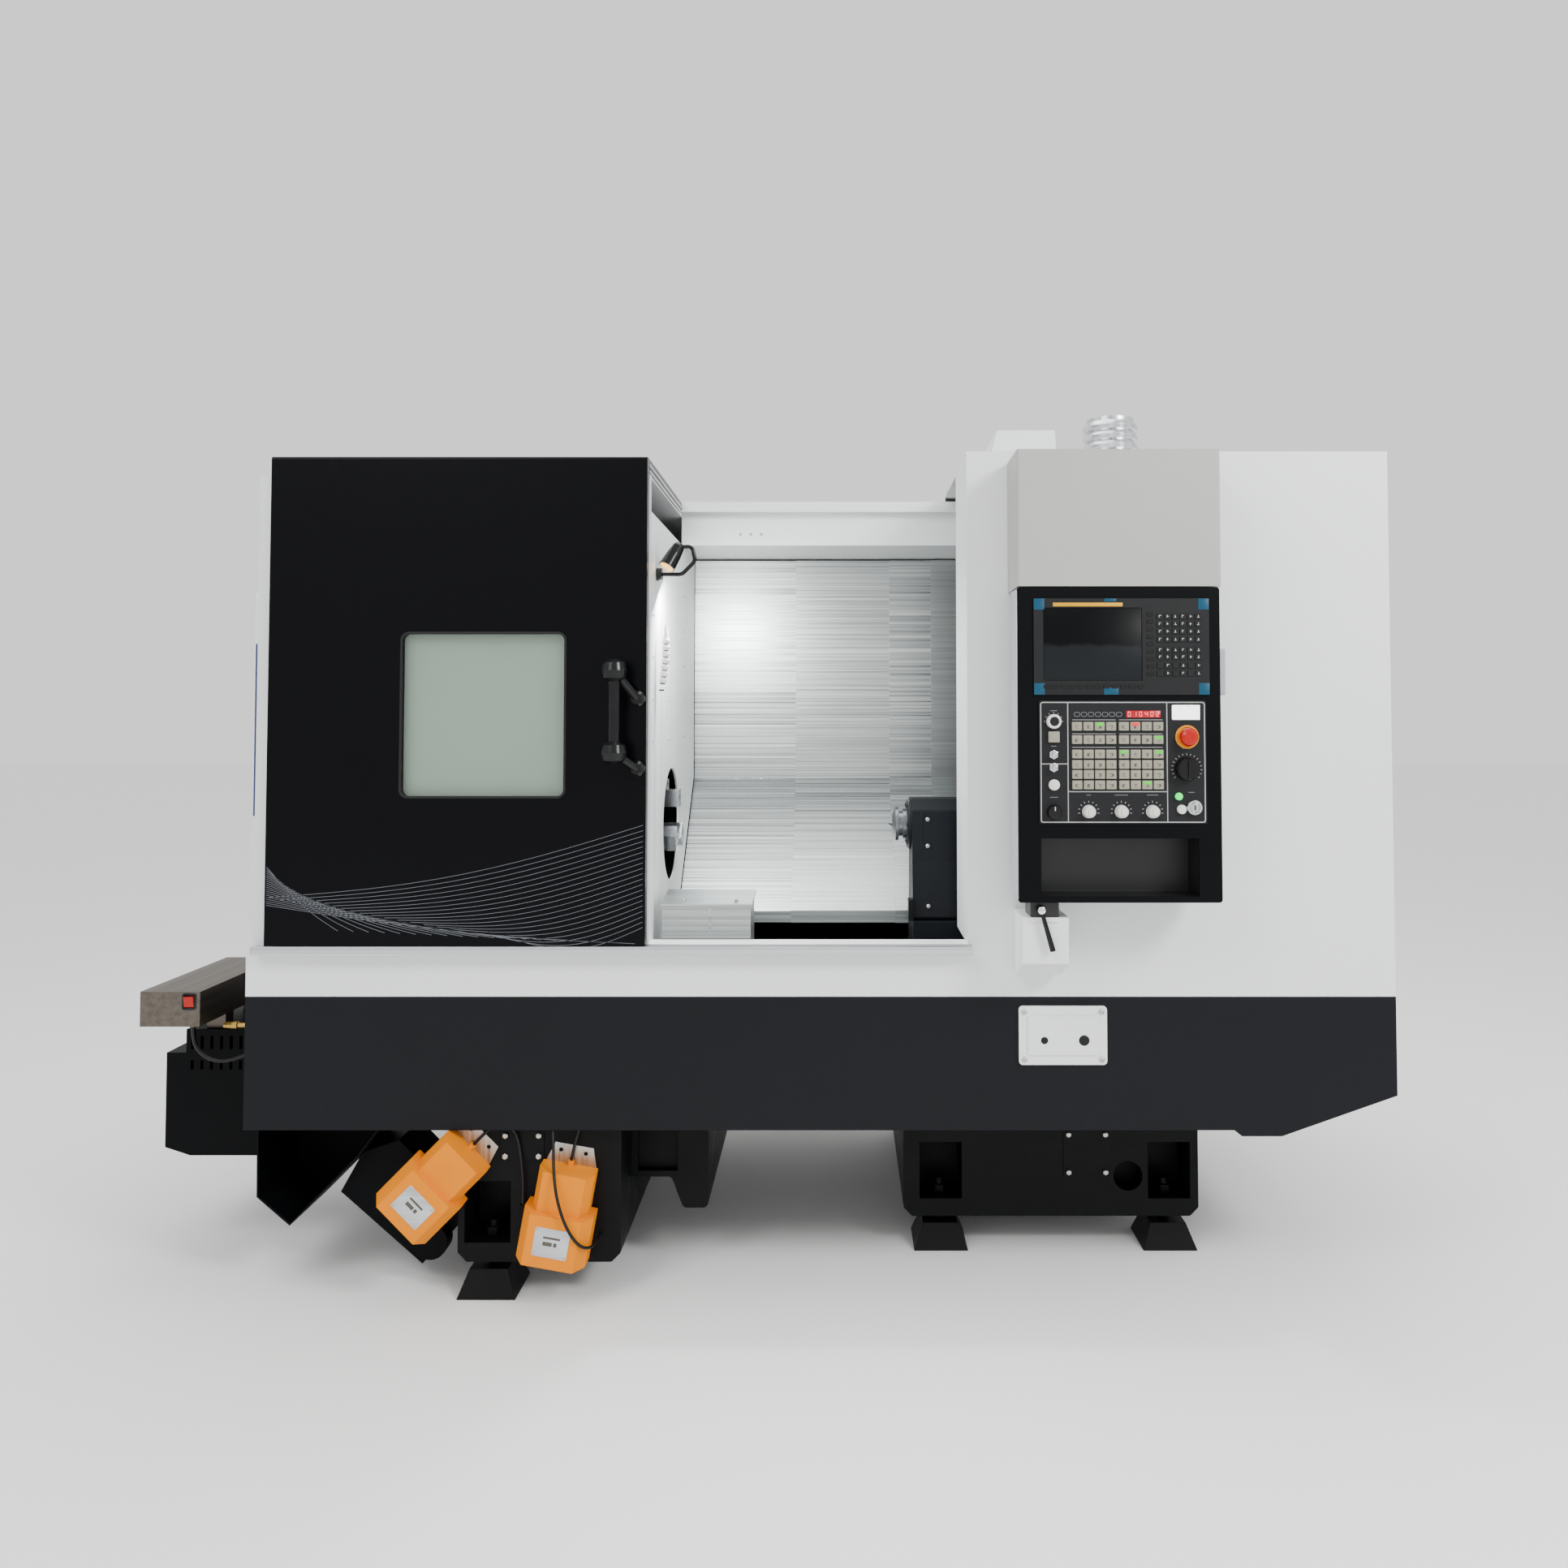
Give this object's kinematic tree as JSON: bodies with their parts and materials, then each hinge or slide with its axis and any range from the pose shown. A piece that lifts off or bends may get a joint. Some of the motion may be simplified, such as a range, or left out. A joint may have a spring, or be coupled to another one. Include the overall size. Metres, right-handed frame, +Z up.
{
  "type": "cnc turning center",
  "caption": "Enclosed slant-bed CNC lathe with a sliding front door, chuck, tailstock, indexing turret, swivelling control pendant and foot pedals.",
  "frame": {"origin": "floor level, under the centre of the object's box", "axes": "+X to the operator's right along the spindle, +Y to the back, +Z up"},
  "size_m": [3.06, 1.85, 2.211],
  "materials": {
    "white_guard_paint": "satin",
    "charcoal_paint": "satin",
    "black_door_paint": "semi-gloss",
    "black_sheet_paint": "satin",
    "painted_cast_iron": "painted, satin",
    "blue_grey_cast_iron": "painted, satin",
    "grey_cabinet_paint": "satin",
    "stainless_sheet": "brushed",
    "machined_steel": "ground",
    "zinc_plate": "zinc plated",
    "aluminium_rail": "drawn",
    "galvanised_duct": "foil",
    "window_glass": "tinted",
    "black_plastic": "satin",
    "grey_panel_plastic": "matte",
    "white_plastic": "satin",
    "red_plastic": "gloss",
    "brass": "machined",
    "cable_sheath": "matte",
    "yellow_cast_paint": "gloss",
    "black_oxide_steel": "black oxide",
    "dark_treadle_iron": "painted, satin"
  },
  "bodies": {
    "machine": {"bed_casting": "painted_cast_iron", "levelling_feet": "black_oxide_steel", "base_skirt": "charcoal_paint", "front_guard": "white_guard_paint", "door_track": "aluminium_rail", "left_end_guard": "white_guard_paint", "right_end_guard": "white_guard_paint", "rear_guard": "white_guard_paint", "service_plate": "white_guard_paint", "inner_wall": "stainless_sheet", "chip_tray": "stainless_sheet", "way_cover_1": "stainless_sheet", "tool_setter_box": "stainless_sheet", "work_lamp": "black_plastic", "coolant_hose": "white_plastic", "headstock": "painted_cast_iron", "pendant_head": "grey_cabinet_paint", "pendant_foot": "grey_cabinet_paint", "extract_duct": "galvanised_duct", "signal_lamp": "red_plastic", "pump_cover": "black_sheet_paint", "oil_skimmer": "stainless_sheet", "chip_chute": "black_sheet_paint", "brass_cocks": "brass", "skimmer_cable": "cable_sheath", "left_pedal_cable": "cable_sheath", "right_pedal_cable": "cable_sheath", "pedal_plates": "zinc_plate", "left_pedal_guard": "yellow_cast_paint", "right_pedal_guard": "yellow_cast_paint", "electrical_cabinet": "grey_cabinet_paint"},
    "door": {"door_panel": "black_door_paint", "door_window": "window_glass", "door_handle": "black_plastic"},
    "spindle": {"spindle": "machined_steel", "chuck_body": "machined_steel"},
    "jaw_1": {"jaw_1": "machined_steel"},
    "jaw_2": {"jaw_2": "machined_steel"},
    "jaw_3": {"jaw_3": "machined_steel"},
    "tailstock": {"tailstock_body": "blue_grey_cast_iron"},
    "quill": {"quill": "machined_steel"},
    "carriage": {"saddle": "painted_cast_iron"},
    "way_cover_2": {"way_cover_2": "stainless_sheet"},
    "way_cover_3": {"way_cover_3": "stainless_sheet"},
    "cross_slide": {"cross_slide": "painted_cast_iron"},
    "turret": {"turret_disc": "machined_steel"},
    "pendant": {"pendant_housing": "black_sheet_paint", "pendant_front": "black_plastic", "lcd_unit": "black_plastic", "operator_panel": "grey_panel_plastic"},
    "e_stop": {"e_stop": "red_plastic"},
    "override_knob": {"override_knob": "black_plastic"},
    "selector_a": {"selector_a": "white_plastic"},
    "selector_b": {"selector_b": "white_plastic"},
    "selector_c": {"selector_c": "white_plastic"},
    "clamp_lever": {"clamp_lever": "black_plastic"},
    "left_treadle": {"left_treadle": "dark_treadle_iron"},
    "right_treadle": {"right_treadle": "dark_treadle_iron"},
    "rocker_switch": {"rocker_switch": "red_plastic"},
    "cabinet_door": {"cabinet_door": "grey_cabinet_paint"}
  },
  "joints": [
    {"name": "door_slide", "type": "slide", "parent": "machine", "child": "door", "axis": [1, 0, 0], "range_m": [0, 0.758]},
    {"name": "spindle_spin", "type": "hinge", "parent": "machine", "child": "spindle", "pos_m": [-0.39, -0.355, 1.095], "axis": [1, 0, 0], "continuous": true},
    {"name": "jaw_1_slide", "type": "slide", "parent": "spindle", "child": "jaw_1", "axis": [0, 0, 1], "range_m": [-0.0044, 0]},
    {"name": "jaw_2_slide", "type": "slide", "parent": "spindle", "child": "jaw_2", "axis": [0, -0.866, -0.5], "range_m": [-0.0046, 0.0002]},
    {"name": "jaw_3_slide", "type": "slide", "parent": "spindle", "child": "jaw_3", "axis": [0, 0.866, -0.5], "range_m": [-0.0046, 0.0002]},
    {"name": "tailstock_slide", "type": "slide", "parent": "machine", "child": "tailstock", "axis": [-1, 0, 0], "range_m": [0, 0.45]},
    {"name": "quill_slide", "type": "slide", "parent": "tailstock", "child": "quill", "axis": [-1, 0, 0], "range_m": [0, 0.08]},
    {"name": "carriage_slide", "type": "slide", "parent": "machine", "child": "carriage", "axis": [1, 0, 0], "range_m": [-0.72, 0]},
    {"name": "way_cover_2_slide", "type": "slide", "parent": "machine", "child": "way_cover_2", "axis": [1, 0, 0], "range_m": [-0.3035, 0.0005]},
    {"name": "way_cover_3_slide", "type": "slide", "parent": "machine", "child": "way_cover_3", "axis": [1, 0, 0], "range_m": [-0.5945, 0.0005]},
    {"name": "cross_slide_feed", "type": "slide", "parent": "carriage", "child": "cross_slide", "axis": [0, -0.7071, -0.7071], "range_m": [0, 0.19]},
    {"name": "turret_index", "type": "hinge", "parent": "cross_slide", "child": "turret", "pos_m": [0.7, -0.07228, 1.37802], "axis": [1, 0, 0], "continuous": true},
    {"name": "pendant_swivel", "type": "hinge", "parent": "machine", "child": "pendant", "pos_m": [0.672, -0.825, 1.3], "axis": [0, 0, -1], "range_deg": [0, 90]},
    {"name": "clamp_lever_turn", "type": "hinge", "parent": "machine", "child": "clamp_lever", "pos_m": [0.662, -0.88, 0.948], "axis": [0, 1, 0], "range_deg": [-40, 70]},
    {"name": "e_stop_push", "type": "slide", "parent": "pendant", "child": "e_stop", "axis": [0, 1, 0], "range_m": [0, 0.006], "stiffness_N_per_m": 1500},
    {"name": "override_turn", "type": "hinge", "parent": "pendant", "child": "override_knob", "pos_m": [0.99, -0.9, 1.267], "axis": [0, -1, 0], "range_deg": [-135, 135]},
    {"name": "selector_a_turn", "type": "hinge", "parent": "pendant", "child": "selector_a", "pos_m": [0.768, -0.9, 1.171], "axis": [0, -1, 0], "range_deg": [-45, 45]},
    {"name": "selector_b_turn", "type": "hinge", "parent": "pendant", "child": "selector_b", "pos_m": [0.8415, -0.9, 1.171], "axis": [0, -1, 0], "range_deg": [-45, 45]},
    {"name": "selector_c_turn", "type": "hinge", "parent": "pendant", "child": "selector_c", "pos_m": [0.912, -0.9, 1.171], "axis": [0, -1, 0], "range_deg": [-45, 45]},
    {"name": "left_treadle_press", "type": "hinge", "parent": "machine", "child": "left_treadle", "pos_m": [-0.69699, -0.739, 0.33401], "axis": [0.7071, 0, -0.7071], "range_deg": [0, 8], "stiffness_Nm_per_rad": 40},
    {"name": "right_treadle_press", "type": "hinge", "parent": "machine", "child": "right_treadle", "pos_m": [-0.43993, -0.739, 0.28412], "axis": [0.9848, 0, -0.1736], "range_deg": [0, 8], "stiffness_Nm_per_rad": 40},
    {"name": "rocker_tilt", "type": "hinge", "parent": "machine", "child": "rocker_switch", "pos_m": [-1.394, -0.628, 0.683], "axis": [-1, 0, 0], "range_deg": [0, 16]},
    {"name": "cabinet_door_swing", "type": "hinge", "parent": "machine", "child": "cabinet_door", "pos_m": [-0.608, 0.903, 1.2], "axis": [0, 0, 1], "range_deg": [0, 110]}
  ],
  "couplings": [
    {"joint": "jaw_2_slide", "follows": "jaw_1_slide", "ratio": 1},
    {"joint": "jaw_3_slide", "follows": "jaw_1_slide", "ratio": 1},
    {"joint": "way_cover_2_slide", "follows": "carriage_slide", "ratio": 0.4194},
    {"joint": "way_cover_3_slide", "follows": "carriage_slide", "ratio": 0.8236}
  ]
}
